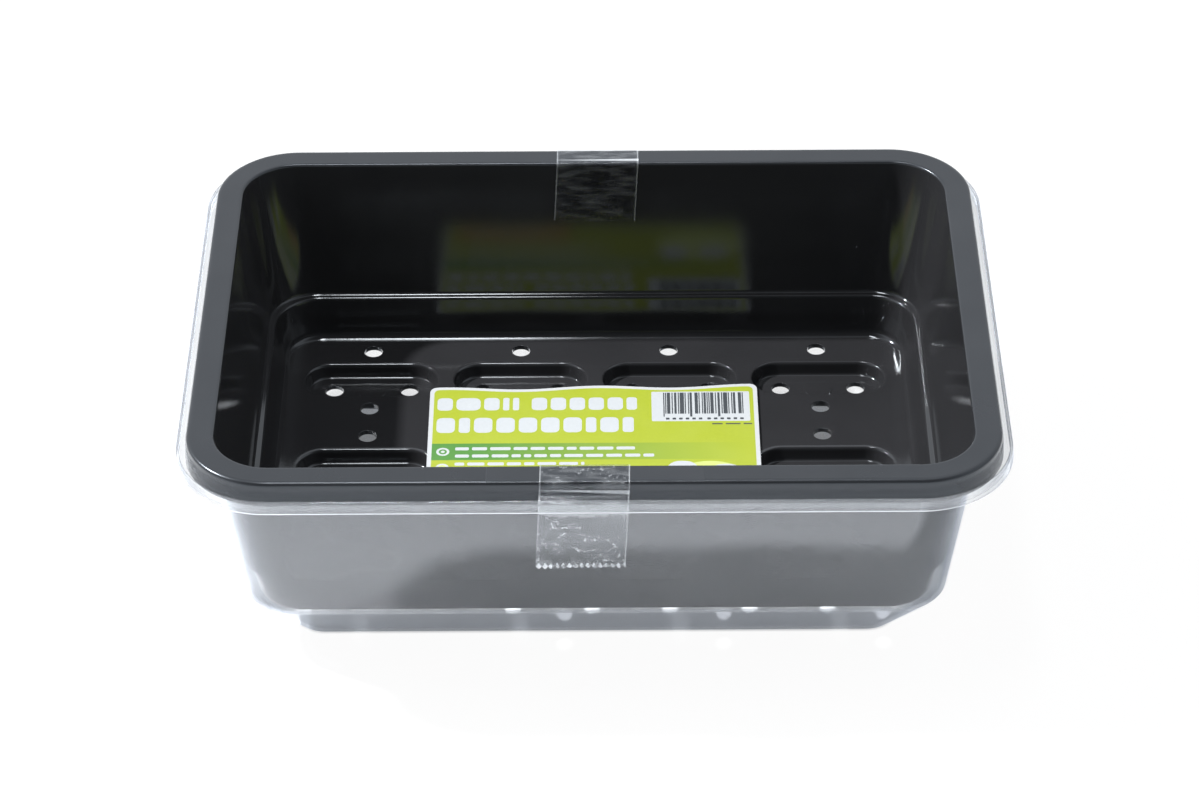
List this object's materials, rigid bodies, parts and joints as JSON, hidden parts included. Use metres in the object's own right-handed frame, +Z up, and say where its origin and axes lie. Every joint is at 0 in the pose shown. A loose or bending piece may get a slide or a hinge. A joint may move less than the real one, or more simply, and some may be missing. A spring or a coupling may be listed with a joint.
{
  "type": "humidity dome tray",
  "caption": "Rectangular seed tray with drainage recesses, nested in its upturned clear cover, with a printed card inside and tape strips over the rim.",
  "frame": {"origin": "under the centre of the cover's flat roof, on the surface that the packed object stands on", "axes": "+X along the long side, +Y from the front to the back, +Z up out of the tray's open mouth"},
  "size_m": [0.2358, 0.1772, 0.0756],
  "materials": {
    "clear_cover": "clear polystyrene, polished",
    "base_tray": "black moulded plastic, glossy inside, satin flange and skirt",
    "label_card": "gloss printed card, yellow-green with a white border",
    "tape": "clear adhesive film"
  },
  "bodies": {
    "cover": {"clear_cover": "clear_cover"},
    "tray": {"base_tray": "base_tray", "tape_front": "tape", "tape_back": "tape"},
    "label": {"label_card": "label_card"},
    "front_tape_tail": {"tape_front_tail": "tape"},
    "back_tape_tail": {"tape_back_tail": "tape"}
  },
  "joints": [
    {"name": "tray_lift", "type": "slide", "parent": "cover", "child": "tray", "axis": [0, 0, 1], "range_m": [0, 0.08]},
    {"name": "label_lift", "type": "slide", "parent": "tray", "child": "label", "axis": [0, 0, 1], "range_m": [0, 0.08]},
    {"name": "front_tape_peel", "type": "hinge", "parent": "tray", "child": "front_tape_tail", "pos_m": [-0.003, -0.0844, 0.0755], "axis": [-1, 0, 0], "range_deg": [0, 120]},
    {"name": "back_tape_peel", "type": "hinge", "parent": "tray", "child": "back_tape_tail", "pos_m": [0.001, 0.0844, 0.0755], "axis": [1, 0, 0], "range_deg": [0, 120]}
  ]
}
